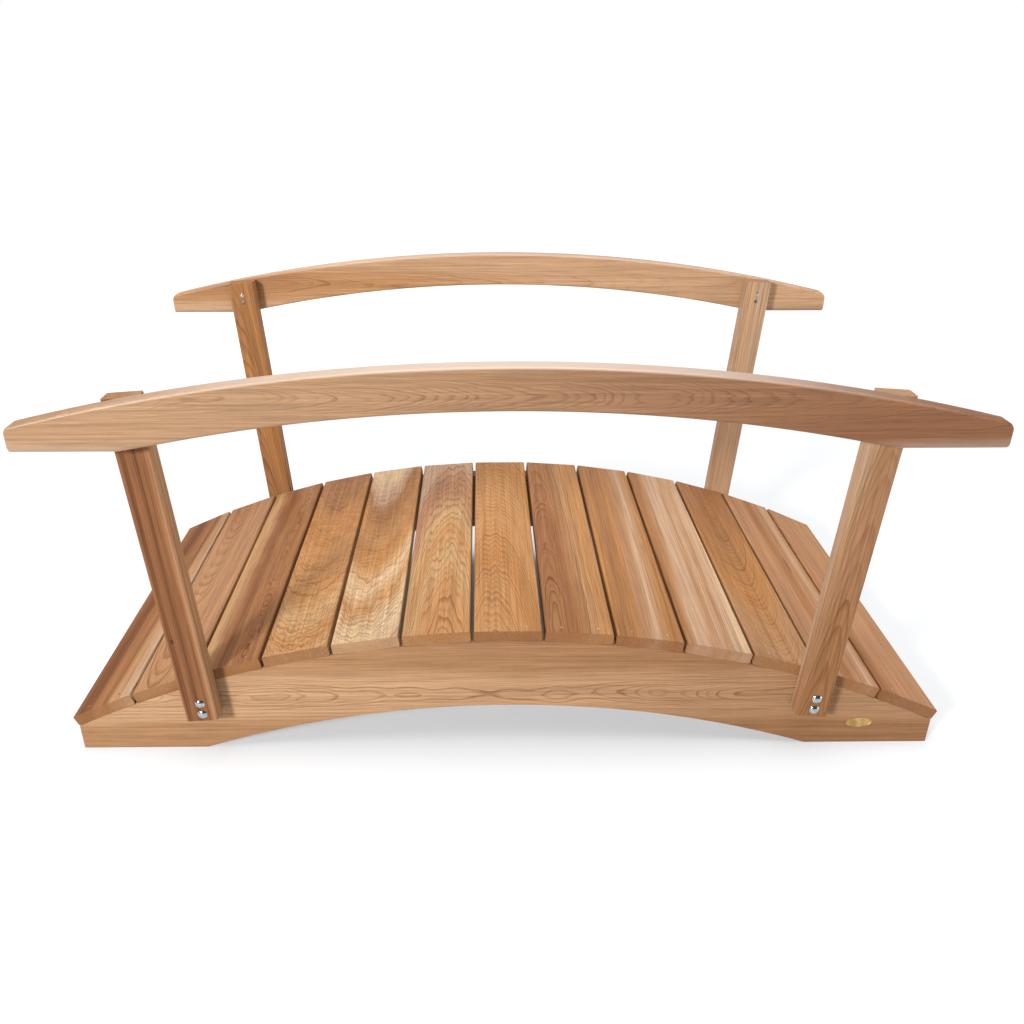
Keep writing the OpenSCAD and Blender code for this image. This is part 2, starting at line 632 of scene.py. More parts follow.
    def _radius(
        self,
        tree: ShaderTree,
        grain: bpy.types.NodeSocket,
        along: Signal,
        across: Signal,
        into: Signal,
        place: TimberPlace,
    ) -> Signal:
        """Gives the distance from the pith, with the log's waver and its rippled rings.

        Args:
            tree: The material's tree.
            grain: The place on the timber as a vector.
            along: The place along the grain.
            across: The place across the grain.
            into: The place in from the timber's middle.
            place: Where the timber lies.

        Returns:
            The distance in metres.
        """
        waver = tree.noise(grain, (self.wander_rate, 0.0, 0.0), self.seed + 4) - 0.5
        sway = tree.noise(grain, (self.wander_rate, 0.0, 0.0), self.seed + 5) - 0.5
        depth = self._depth(along) + into + place.half_depth + 2.0 * self.wander * waver
        side = self._side(along, across) + 2.0 * self.wander * sway
        rates = (self.ripple_along, self.ripple_across, self.ripple_across)
        ripple = tree.noise(grain, rates, self.seed + 6) - 0.5
        fray = tree.noise(grain, self.FRAY_RATES, self.seed + 7) - 0.5
        radius = (side * side + depth * depth).root() + 2.0 * self.ripple * ripple + 2.0 * self.fray * fray
        if self.zigzag:
            swing = (across * self.zigzag_rate + self.ZIGZAG_SWAY * sway).part() - 0.5
            radius = radius + self.zigzag * swing.size() * (1.0 - across.rise(*self.ZIGZAG_STOP))
        return radius

    def _late_wood(self, tree: ShaderTree, radius: Signal) -> Signal:
        """Draws the dark line that ends each year's ring.

        Args:
            tree: The material's tree.
            radius: The distance from the pith.

        Returns:
            The line's strength, from 0 to 1.
        """
        years = radius / self.ring
        spread = tree.noise(tree.combine(years, 0.0, 0.0), self.SPREAD_RATES, self.seed + 8)
        years = years + self.YEAR_SPREAD * (spread - 0.5)
        season = years.part()
        chance = tree.add(
            "ShaderNodeTexWhiteNoise", {"noise_dimensions": "1D"}, {"W": years.whole() + self.seed}
        )
        strength = self.FAINTEST_LINE + (1.0 - self.FAINTEST_LINE) * Signal(tree, chance.outputs[0])
        return season.rise(self.line_from, self.LINE_PEAK) * (1.0 - season.rise(*self.LINE_END)) * strength

    def _heartwood(self, tree: ShaderTree, share: Signal) -> bpy.types.NodeSocket:
        """Colours the wood by its distance from the pith.

        Args:
            tree: The material's tree.
            share: The distance, from 0 where the show face lies nearest to 1 where it lies farthest.

        Returns:
            The colour.
        """
        last = len(self.tones) - 1
        stops = [(i / last, tone.paint()) for i, tone in enumerate(self.tones)]
        return tree.add("ShaderNodeValToRGB", {"stops": stops}, {0: share}).outputs[0]

    def _marked(
        self,
        tree: ShaderTree,
        colour: bpy.types.NodeSocket,
        along: Signal,
        across: Signal,
        place: TimberPlace,
    ) -> bpy.types.NodeSocket:
        """Adds a darker end, knots, and painted highlights along a bowed top and under level ends.

        Args:
            tree: The material's tree.
            colour: The bare wood.
            along: The place along the grain.
            across: The place across the grain.
            place: Where the timber lies.

        Returns:
            The marked wood.
        """
        half = place.half_length
        # Darker towards one end along the grain, the right end on the beams and rails
        if self.fade:
            low, high = self.FADE_REACH
            end_darkening = self.fade * along.rise(low * half, high * half)
            colour = tree.mix(end_darkening, colour, Tone.RESIN.paint(), "MULTIPLY")
        for knot in self.knots:
            colour = tree.mix(self._knot(along, across, knot), colour, Tone.BARK.paint())
        # Painted highlight: pale along the top of the bow, strongest in the middle of the length
        if self.crest:
            middle = 1.0 - along.size().rise(0.0, self.CREST_REACH * half)
            upper = 1.0 - place.below_crown(along, across).rise(*self.CREST_DEPTH)
            colour = tree.mix(self.crest * middle * upper, colour, Tone.PEARL.paint())
        # Painted reflection of the floor: a pale band low on the rail near its level ends
        if self.grip:
            low, high = self.GRIP_REACH
            reach = along.size().rise(low * half, high * half)
            lower = 1.0 - (across + place.half_width).rise(*self.GRIP_DEPTH)
            colour = tree.mix(self.grip * reach * lower, colour, Tone.PEARL.paint())
        return colour

    def _knot(self, along: Signal, across: Signal, knot: Knot) -> Signal:
        """Gives how much of a knot shows at a place.

        Args:
            along: The place along the grain.
            across: The place across the grain.
            knot: The knot.

        Returns:
            The knot's strength there.
        """
        beside = (along - knot.along) / knot.half_length
        over = (across - knot.across) / knot.half_width
        return (1.0 - (beside * beside + over * over).rise(*self.KNOT_EDGE)) * knot.strength

    @staticmethod
    def _turned_to(tree: ShaderTree, way: Vector) -> Signal:
        """Gives how much the surface is turned towards a direction.

        Args:
            tree: The material's tree.
            way: The direction, of length 1.

        Returns:
            The share, from -1 to 1.
        """
        normal = tree.add("ShaderNodeNewGeometry").outputs["Normal"]
        facing = tree.add("ShaderNodeVectorMath", {"operation": "DOT_PRODUCT"}, {0: normal, 1: tuple(way)})
        return Signal(tree, facing.outputs["Value"])


@dataclass(frozen=True)
class Zinc:
    """Bright zinc plating, clouded where it has been handled. Rates are cycles in a metre."""

    bright: str = "B8BABC"
    dull: str = "7C8084"
    roughness: float = 0.15
    cloud_rate: float = 240.0
    cloud_edge: tuple[float, float] = (0.45, 0.75)
    cloud_roughness: float = 0.18
    grit_rate: float = 2600.0
    grit_show: float = 0.12
    grit_depth: float = 0.05 * MILLI

    def material(self, name: str) -> bpy.types.Material:
        """Makes the finish.

        Args:
            name: The material's name.

        Returns:
            The material.
        """
        tree = ShaderTree(bpy.data.materials.new(name))
        place = tree.add("ShaderNodeTexCoord").outputs["Object"]
        cloud = tree.noise(place, [self.cloud_rate] * 3, seed=1.0, detail=3.0)
        grit = tree.noise(place, [self.grit_rate] * 3, seed=2.0)
        return tree.surface({
            "Base Color": tree.mix(cloud.rise(*self.cloud_edge), linear(self.bright), linear(self.dull)),
            "Metallic": 1.0,
            "Roughness": self.roughness + self.cloud_roughness * cloud * cloud,
            "Normal": tree.bump(grit, self.grit_show, self.grit_depth),
        })


@dataclass(frozen=True)
class Brass:
    """Satin brass, brushed along the plate. Rates are cycles in a metre."""

    pale: str = "C8A96C"
    deep: str = "A08148"
    metal: float = 0.85
    roughness: float = 0.42
    brush_rates: tuple[float, ...] = (60.0, 60.0, 3200.0)
    brush_roughness: float = 0.2
    brush_show: float = 0.1
    brush_depth: float = 0.05 * MILLI
    cloud_rate: float = 90.0
    cloud_edge: tuple[float, float] = (0.3, 0.7)

    def material(self, name: str) -> bpy.types.Material:
        """Makes the finish.

        Args:
            name: The material's name.

        Returns:
            The material.
        """
        tree = ShaderTree(bpy.data.materials.new(name))
        place = tree.add("ShaderNodeTexCoord").outputs["Object"]
        brushed = tree.noise(place, self.brush_rates, seed=1.0)
        cloud = tree.noise(place, [self.cloud_rate] * 3, seed=2.0)
        return tree.surface({
            "Base Color": tree.mix(cloud.rise(*self.cloud_edge), linear(self.pale), linear(self.deep)),
            "Metallic": self.metal,
            "Roughness": self.roughness + self.brush_roughness * (brushed - 0.5),
            "Normal": tree.bump(brushed, self.brush_show, self.brush_depth),
        })


@dataclass(frozen=True)
class PaleFloor:
    """Matt studio floor with a white glow, held back under the deck as painted shade, slightly uneven in
    tone.
    """

    colour: str = "A1A2A3"
    worn: str = "9E9FA0"
    cloud_rate: float = 0.7
    roughness: float = 0.75
    cloud_roughness: float = 0.1
    gloss: float = 0.1
    glow: float = 0.6
    near: str = "D0D1D2"
    near_reach: float = 1.6
    far_reach: float = 4.0
    shade: float = 0.9
    shade_back: float = 0.12
    shade_length: tuple[float, float] = (0.7, 0.9)
    shade_width: tuple[float, float] = (0.22, 0.36)

    def material(self, name: str) -> bpy.types.Material:
        """Makes the finish.

        Args:
            name: The material's name.

        Returns:
            The material.
        """
        tree = ShaderTree(bpy.data.materials.new(name))
        place = tree.add("ShaderNodeTexCoord").outputs["Object"]
        cloud = tree.noise(place, [self.cloud_rate] * 3, seed=1.0)
        length = tree.add("ShaderNodeVectorMath", {"operation": "LENGTH"}, {0: place})
        away = Signal(tree, length.outputs["Value"]).rise(self.near_reach, self.far_reach)
        axes = tree.add("ShaderNodeSeparateXYZ", None, {0: place})
        along = Signal(tree, axes.outputs["X"]).size().rise(*self.shade_length)
        over = (Signal(tree, axes.outputs["Y"]) - self.shade_back).size().rise(*self.shade_width)
        glow = tree.mix(away, linear(self.near), linear(WHITE))
        return tree.surface({
            "Base Color": tree.mix(cloud, linear(self.colour), linear(self.worn)),
            "Roughness": self.roughness + self.cloud_roughness * cloud,
            "Specular IOR Level": self.gloss,
            # Painted shade: the glow is held back under the deck
            "Emission Color": tree.brighten(glow, 1.0 - self.shade * (1.0 - along) * (1.0 - over)),
            "Emission Strength": self.glow,
        })


def dress_node(name: str, cedar: Cedar, place: TimberPlace) -> None:
    """Gives a timber of the frame its finish.

    Args:
        name: The timber's node.
        cedar: What it was sawn from.
        place: Where it lies.
    """
    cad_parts[name].material_slots[0].material = cedar.material(f"cedar_{name}", place)
    LOG.info("dressed %s", name)


def finished_piece(
    name: str, shape: bmesh.types.BMesh, material: bpy.types.Material
) -> bpy.types.Object:
    """Makes a piece of the bridge from a shape that is already in place.

    Args:
        name: The piece's name.
        shape: Its mesh, which is used up.
        material: Its finish.

    Returns:
        The piece.
    """
    mesh = bpy.data.meshes.new(name)
    shape.to_mesh(mesh)
    shape.free()
    mesh.materials.append(material)
    mesh.polygons.foreach_set("use_smooth", [True] * len(mesh.polygons))
    mesh.set_sharp_from_angle(angle=SHARP_ANGLE)
    piece = bpy.data.objects.new(name, mesh)
    bpy.context.scene.collection.objects.link(piece)
    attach(piece, BODY)
    LOG.info("built %s with %d faces", name, len(mesh.polygons))
    return piece


def add_copy(target: bmesh.types.BMesh, shape: bmesh.types.BMesh, placing: Matrix) -> None:
    """Adds a placed copy of one shape to another.

    Args:
        target: The shape that grows.
        shape: The shape that is copied.
        placing: Where the copy goes.
    """
    scratch = bpy.data.meshes.new("scratch")
    shape.to_mesh(scratch)
    scratch.transform(placing)
    target.from_mesh(scratch)
    bpy.data.meshes.remove(scratch)


def verts_in(made: Sequence[Any]) -> list[bmesh.types.BMVert]:
    """Picks the vertices out of what an operator made."""
    return [item for item in made if isinstance(item, bmesh.types.BMVert)]


def rim_of(shape: bmesh.types.BMesh) -> list[bmesh.types.BMEdge]:
    """Lists the open edges of a shape."""
    return [edge for edge in shape.edges if edge.is_boundary]


def drawn_out(
    shape: bmesh.types.BMesh, edges: Sequence[bmesh.types.BMEdge], rise: float, scale: float
) -> list[bmesh.types.BMEdge]:
    """Extrudes a round rim along Z and draws it in or out about the axis.

    Args:
        shape: The shape that grows.
        edges: The rim.
        rise: How far the new rim moves along Z.
        scale: The new rim's size against the old one's.

    Returns:
        The new rim.
    """
    made = bmesh.ops.extrude_edge_only(shape, edges=list(edges))["geom"]
    verts = verts_in(made)
    bmesh.ops.scale(shape, vec=(scale, scale, 1.0), verts=verts)
    bmesh.ops.translate(shape, vec=(0.0, 0.0, rise), verts=verts)
    return [item for item in made if isinstance(item, bmesh.types.BMEdge) and item.is_boundary]


def domed_cap(radius: float, height: float, segments: int) -> bmesh.types.BMesh:
    """Makes the open dome of a bolt or nail head, with its rim at Z 0.

    Args:
        radius: The rim's radius.
        height: The dome's rise over the rim.
        segments: Steps round the dome.

    Returns:
        The dome.
    """
    ball = (radius * radius + height * height) / (2.0 * height)
    shape = bmesh.new()
    bmesh.ops.create_uvsphere(shape, u_segments=segments, v_segments=DOME_FINENESS * segments, radius=ball)
    bmesh.ops.translate(shape, vec=(0.0, 0.0, height - ball), verts=shape.verts[:])
    bmesh.ops.bisect_plane(
        shape,
        geom=shape.verts[:] + shape.edges[:] + shape.faces[:],
        plane_co=(0.0, 0.0, 0.0),
        plane_no=(0.0, 0.0, 1.0),
        clear_inner=True,
    )
    return shape


def ease_edges(shape: bmesh.types.BMesh, edges: Sequence[bmesh.types.BMEdge], offset: float) -> None:
    """Rounds off sharp edges.

    Args:
        shape: The shape.
        edges: The edges to round.
        offset: How far the rounding reaches over each face.
    """
    bmesh.ops.bevel(
        shape,
        geom=list(edges),
        offset=offset,
        offset_type="OFFSET",
        affect="EDGES",
        segments=2,
        profile=0.5,
        material=-1,
    )


def facing(side: Side) -> Matrix:
    """Turns a piece built along +Z to face out of one side of the bridge."""
    return Matrix.Rotation(-side.value * math.pi / 2, 4, "X")


@dataclass
class SideBeams:
    """The two curved beams that carry the deck."""

    front: Cedar = Cedar(
        seed=31.0,
        tones=shades("PEACH PEACH PEACH PEACH TAN TAN TAN ROSE"),
        pith_across=0.0, pith_depth=0.05, lean_depth=-0.012, bow=-0.045, ring=0.0026, wander=0.017,
        wander_rate=3.6, ripple=0.0016, line=0.75, line_from=0.6, calm=0.6, streak=0.5, fade=0.3,
    )
    back: Cedar = Cedar(
        seed=32.0,
        tones=shades("TAN PEACH TAN HONEY ROSE"),
        pith_across=-0.06, pith_depth=0.05, lean_depth=0.02, ring=0.004, wander=0.008, line=0.45,
    )

    def dress(self) -> None:
        """Dresses both beams."""
        for side, cedar in ((Side.FRONT, self.front), (Side.BACK, self.back)):
            name = f"{side.word}_beam"
            dress_node(name, cedar, TimberPlace.along_bridge(name))


def board_cedars() -> tuple[Cedar, ...]:
    """Gives each deck board its own cedar.

    Returns:
        The boards' cedars, from the left end to the right.
    """
    return (
        # Straight grain with a reddish outer edge and pale sapwood near the inner one
        Cedar(
            seed=1.0,
            tones=shades("CHESTNUT UMBER RUSSET WALNUT WALNUT UMBER CHESTNUT RUSSET TAN TAN BLUSH CREAM"),
            lean_across=0.03, ring=0.005, wander=0.006, line=0.5,
        ),
        # Even pinkish brown with a faint flame
        Cedar(
            seed=2.0,
            tones=shades("CHESTNUT ROSE TAN ROSE TAN ROSE RUSSET"),
            pith_across=-0.02, pith_depth=0.09, lean_depth=-0.06, ring=0.0032, ripple=0.004,
            line=0.65,
        ),
        # Dark heart with a narrow run of small loops, pale along one edge
        Cedar(
            seed=3.0,
            tones=shades("UMBER CHESTNUT RUSSET UMBER TAN BLOND HONEY"),
            pith_across=0.036, pith_depth=0.03, lean_depth=0.012, ring=0.0021, wander=0.012,
            wander_rate=10.0, ripple=0.004, ripple_along=6.0, ripple_across=60.0, line=0.75,
            knots=(Knot(0.085, -0.008, 0.018, 0.006, 0.3),),
        ),
        # Close wavy figure that points to the front, golden towards that end
        Cedar(
            seed=4.0,
            tones=shades("UMBER CHESTNUT CHESTNUT AMBER AMBER HONEY HONEY HONEY BLOND HONEY BLOND"),
            pith_across=-0.004, pith_depth=0.13, lean_depth=-0.17, ring=0.0027, ripple=0.006,
            ripple_along=14.0, ripple_across=48.0, line=0.62, line_from=0.2, curl=0.7,
            end_tone=Tone.UMBER,
        ),
        # Wavy figure with cream bands, one corner all sapwood
        Cedar(
            seed=5.0,
            tones=shades(
                "CREAM CREAM BLUSH CHESTNUT AMBER HONEY AMBER HONEY CREAM HONEY CREAM CREAM BLUSH"
            ),
            pith_across=-0.02, pith_depth=0.12, lean_depth=-0.17, ring=0.0026, ripple=0.006,
            ripple_along=9.0, ripple_across=40.0, line=0.58, line_from=0.2, end_tone=Tone.TAN,
            curl=0.6,
        ),
        # Ragged arches round a pale middle, pinkish at the back
        Cedar(
            seed=6.0,
            tones=shades("HONEY HONEY HONEY BLOND HONEY BLOND ROSE ROSE BLUSH BLUSH BLUSH"),
            pith_across=0.016, pith_depth=0.085, lean_depth=0.1, ring=0.004, ripple=0.011,
            ripple_along=3.0, ripple_across=30.0, fray=0.001, line=0.75, curl=0.2,
        ),
        # Golden, with chevrons on the left half and fine straight lines on the right
        Cedar(
            seed=7.0,
            tones=shades("HONEY HONEY AMBER HONEY HONEY AMBER HONEY"),
            pith_across=-0.03, pith_depth=0.11, lean_depth=0.15, ring=0.0036, ripple=0.003,
            ripple_across=38.0, zigzag=0.0075, line=0.7, end_tone=Tone.RUSSET,
        ),
        # Long narrow arches at the left, straight beside them
        Cedar(
            seed=8.0,
            tones=shades("CHESTNUT UMBER CHESTNUT TAN HONEY HONEY TAN"),
            pith_across=-0.045, pith_depth=0.045, lean_depth=0.045, ring=0.003, wander=0.009,
            wander_rate=6.0, ripple=0.004, ripple_along=4.0, line=0.9,
        ),
        # Orange brown with smooth pinkish streaks that bend
        Cedar(
            seed=9.0,
            tones=shades("CHESTNUT AMBER CHESTNUT CHESTNUT AMBER ROSE TAN BLUSH TAN AMBER CHESTNUT ROSE"),
            pith_across=-0.26, lean_across=0.03, ring=0.006, wander=0.02, wander_rate=1.3,
            line=0.4, end_tone=Tone.UMBER,
        ),
        # Pale sapwood with brown streaks
        Cedar(
            seed=10.0,
            tones=shades(
                "UMBER CHESTNUT CHESTNUT TAN BLUSH BLUSH BLUSH TAN BLUSH TAN BLUSH BLUSH CREAM BLUSH"
            ),
            pith_across=-0.3, lean_across=0.03, ring=0.005, wander=0.006, line=0.35,
            end_tone=Tone.ROSE,
        ),
        # Brown with arches that point to the front
        Cedar(
            seed=11.0,
            tones=shades("UMBER CHESTNUT CHESTNUT AMBER TAN TAN"),
            pith_across=-0.004, pith_depth=0.09, lean_depth=-0.12, ring=0.0024, ripple=0.003,
            line=0.65, streak=0.5,
        ),
        # Reddish brown, straight, with a pale stripe and a dark fleck
        Cedar(
            seed=12.0,
            tones=shades("TAN ROSE ROSE ROSE TAN ROSE CHESTNUT CHESTNUT ROSE ROSE TAN BLUSH TAN ROSE"),
            ring=0.005, wander=0.005, line=0.4, knots=(Knot(0.06, 0.015, 0.05, 0.005, 0.4),),
        ),
        # Pinkish brown, straight and fine
        Cedar(
            seed=13.0,
            tones=shades("UMBER CHESTNUT ROSE ROSE ROSE TAN ROSE TAN TAN"),
            lean_across=-0.05, ring=0.004, line=0.45, end_tone=Tone.UMBER,
        ),
    )


@dataclass
class Deck:
    """The boards that lie across the beams along their curve."""

    board_width: float = 0.14
    board_depth: float = 0.025
    curve_radius: float = 2.105
    cedars: tuple[Cedar, ...] = field(default_factory=board_cedars)

    def places(self) -> Iterator[tuple[str, TimberPlace]]:
        """Goes through the boards from left to right.

        Yields:
            Each board's name and its place.
        """
        for number in range(1, len(self.cedars) + 1):
            name = f"deck_board_{number:02d}"
            low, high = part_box(name)
            centre = (low + high) / 2
            yield name, TimberPlace(
                centre,
                (high.y - low.y) / 2,
                self.board_width / 2,
                self.board_depth / 2,
                Grain.ACROSS_BRIDGE,
                math.asin(centre.x / (self.curve_radius + self.board_depth / 2)),
            )

    def dress(self) -> None:
        """Dresses every board in its own cedar."""
        for cedar, (name, place) in zip(self.cedars, self.places()):
            dress_node(name, cedar, place)


def post_cedars() -> dict[tuple[Side, End], Cedar]:
    """Gives each post its own cedar.

    Returns:
        The posts' cedars by side and end.
    """
    return {
        (Side.FRONT, End.LEFT): Cedar(
            seed=21.0,
            tones=shades(
                "RUSSET UMBER WALNUT RUSSET UMBER RUSSET WALNUT RUSSET UMBER RUSSET CHESTNUT ROSE TAN"
            ),
            pith_across=-0.2, ring=0.005, line=0.5, streak=0.4, end_tone=Tone.TAN,
            knots=(Knot(-0.155, -0.02, 0.007, 0.004),),
        ),
        (Side.FRONT, End.RIGHT): Cedar(
            seed=22.0,
            tones=shades("CHESTNUT CHESTNUT ROSE TAN BLUSH BLUSH"),
            pith_across=0.01, pith_depth=0.06, lean_depth=0.05, lean_across=0.03, ring=0.0036,
            line=0.55, end_tone=Tone.TAN,
        ),
        (Side.BACK, End.LEFT): Cedar(
            seed=23.0,
            tones=shades("AMBER CHESTNUT AMBER CHESTNUT AMBER CHESTNUT"),
            pith_across=-0.03, pith_depth=0.07, lean_depth=0.05, ring=0.003, line=0.6,
        ),
        (Side.BACK, End.RIGHT): Cedar(
            seed=24.0,
            tones=shades("PEACH PEACH BLUSH PEACH BLUSH BLUSH BLUSH"),
            pith_across=-0.1, lean_depth=0.06, ring=0.005, line=0.35,
        ),
    }


@dataclass
class Posts:
    """The four posts that lean outwards on the beams' outer faces."""

    width: float = 0.0665
    thickness: float = 0.038
    length: float = 0.708
    lean: float = math.radians(4.0)
    cedars: dict[tuple[Side, End], Cedar] = field(default_factory=post_cedars)

    @staticmethod
    def name(side: Side, end: End) -> str:
        """Names one post's node."""
        return f"{side.word}_{end.word}_post"

    def places(self) -> Iterator[tuple[Side, End, TimberPlace]]:
        """Goes through the posts.

        Yields:
            Each post's side, end and place.
        """
        for side, end in self.cedars:
            low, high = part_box(self.name(side, end))
            yield side, end, TimberPlace(
                (low + high) / 2,
                self.length / 2,
                self.width / 2,
                self.thickness / 2,
                Grain.UPRIGHT,
                self.lean * end.value,
            )

    def dress(self) -> None:
        """Dresses every post in its own cedar."""
        for side, end, place in self.places():
            dress_node(self.name(side, end), self.cedars[side, end], place)


@dataclass
class Handrails:
    """The two bowed rails on the posts' outer faces: level below their ends, rounded all along."""

    crown_rise: float = 0.107
    crown_depth: float = 0.0805
    level_length: float = 0.193
    top_edge: float = 0.005
    bow_edge: float = 0.006
    grip_edge: float = 0.011
    end_round: float = 0.012
    end_edge: float = 0.005
    foot_edge: float = 0.0025
    edge_share: float = 0.9
    ring_steps: int = 32
    end_steps: int = 8
    level_steps: int = 6
    bow_steps: int = 45
    front: Cedar = Cedar(
        seed=41.0,
        tones=shades("WHEAT WHEAT WHEAT WHEAT TAN TAN BLUSH"),
        pith_across=0.022, pith_depth=0.06, lean_depth=0.045, ring=0.0015, wander=0.007,
        wander_rate=4.0, ripple=0.0016, ripple_along=5.0, ripple_across=55.0, fray=0.0005,
        line=0.5, line_from=0.5, fade=0.66, crest=0.75, grip=0.22, end_tone=Tone.TAN,
        roughness=0.4, gloss=0.3,
    )
    back: Cedar = Cedar(
        seed=42.0,
        tones=shades("CHESTNUT HONEY PEACH PEACH PEACH CHESTNUT"),
        pith_across=0.0, pith_depth=0.06, lean_depth=0.03, ring=0.0028, wander=0.006, ripple=0.004,
        ripple_along=5.0, fray=0.0005, line=0.5, line_from=0.55, calm=0.7, crest=0.3, grip=0.1,
        end_tone=Tone.TAN, roughness=0.4, gloss=0.3,
    )

    @staticmethod
    def _arc_radius(half_chord: float, rise: float) -> float:
        """Gives the radius of the circle through both ends of a chord and the top of its rise."""
        return (half_chord ** 2 + rise ** 2) / (2.0 * rise)

    @staticmethod
    def _drop(radius: float, reach: float) -> float:
        """Gives how far a circle has dropped below its top at a distance from its middle."""
        return radius - math.sqrt(radius ** 2 - reach ** 2)

    def _eased(self, radius: float, from_end: float) -> float:
        """Gives how far a rounded corner has drawn in at a distance from the rail's end."""
        return self._drop(radius, radius - from_end) if from_end < radius else 0.0

    def stations(self, half_length: float) -> list[float]:
        """Lists where the cross sections lie, close together at the rounded ends.

        Args:
            half_length: Half of the rail's length.

        Returns:
            Places along the rail, from left to right.
        """
        rounds = [1.0 - math.cos(math.pi / 2 * i / self.end_steps) for i in range(self.end_steps)]
        from_end = [self.end_round * share for share in rounds]
        level = (self.level_length - self.end_round) / self.level_steps
        from_end += [self.end_round + level * i for i in range(self.level_steps)]
        bow = (half_length - self.level_length) / self.bow_steps
        from_end += [self.level_length + bow * i for i in range(self.bow_steps + 1)]
        right = [half_length - reach for reach in from_end]
        return [-x for x in right] + right[-2::-1]

    def on_rail(self, spot: Vector, low: Vector, high: Vector) -> Vector:
        """Moves a place on a round bar along Z to the same place on the rail's rounded section.

        Args:
            spot: The place on a bar of radius 1.
            low: The lower corner of the rail's box.
            high: Its upper corner.

        Returns:
            The place on the rail.
        """
        from_end = max(0.0, high.x - abs(spot.z))
        half = (high.y - low.y) / 2 - self._eased(self.end_edge, from_end)
        span = high.x - self.level_length
        under = high.z - self.crown_depth
        lift = 0.0
        if abs(spot.z) < span:
            lift = under - low.z - self._drop(self._arc_radius(span, under - low.z), spot.z)
        if spot.y > 0.0:
            edge = self.top_edge
            top = high.z - self._drop(self._arc_radius(high.x, self.crown_rise), spot.z)
            height = top - self._eased(self.end_round, from_end) - edge
        else:
            edge = self.bow_edge + (self.grip_edge - self.bow_edge) * max(0.0, 1.0 - lift / self.grip_edge)
            edge = min(edge, self.edge_share * half)
            height = low.z + lift + self._eased(self.foot_edge, from_end) + edge
        # The bar's corners lie half a step off its axes, so each quarter is stretched to a full one
        first = math.pi / self.ring_steps
        turn = (math.atan2(abs(spot.y), abs(spot.x)) - first) / (1.0 - 4.0 * first / math.pi)
        aside = math.copysign(half - edge + edge * math.cos(turn), spot.x)
        height += math.copysign(edge * math.sin(turn), spot.y)
        return Vector((spot.z, (low.y + high.y) / 2 + aside, height))

    def rail(self, low: Vector, high: Vector) -> bmesh.types.BMesh:
        """Makes a rail: a round bar drawn out along its stations, then brought to the rail's section.

        Args:
            low: The lower corner of the rail's box.
            high: Its upper corner.

        Returns:
            The rail.
        """
        stations = self.stations(high.x)
        start = Matrix.Translation((0.0, 0.0, stations[0]))
        start @= Matrix.Rotation(math.pi / self.ring_steps, 4, "Z")
        shape = bmesh.new()
        bmesh.ops.create_circle(shape, cap_ends=False, segments=self.ring_steps, radius=1.0, matrix=start)
        rim = shape.edges[:]
        for here, there in zip(stations, stations[1:]):
            rim = drawn_out(shape, rim, there - here, 1.0)
        bmesh.ops.holes_fill(shape, edges=rim_of(shape))
        for vert in shape.verts:
            vert.co = self.on_rail(vert.co, low, high)
        bmesh.ops.recalc_face_normals(shape, faces=shape.faces[:])
        return shape

    def build(self) -> None:
        """Builds both rails over the frame's own, with finely rounded edges."""
        for side, cedar in ((Side.FRONT, self.front), (Side.BACK, self.back)):
            name = f"{side.word}_handrail"
            low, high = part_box(name)
            place = TimberPlace.along_bridge(name, self._arc_radius(high.x, self.crown_rise))
            material = cedar.material(f"cedar_{name}", place)
            piece = finished_piece(f"{side.word}_rail", self.rail(low, high), material)
            even = piece.modifiers.new("even_shading", "WEIGHTED_NORMAL")
            even.keep_sharp = True
            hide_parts(name)


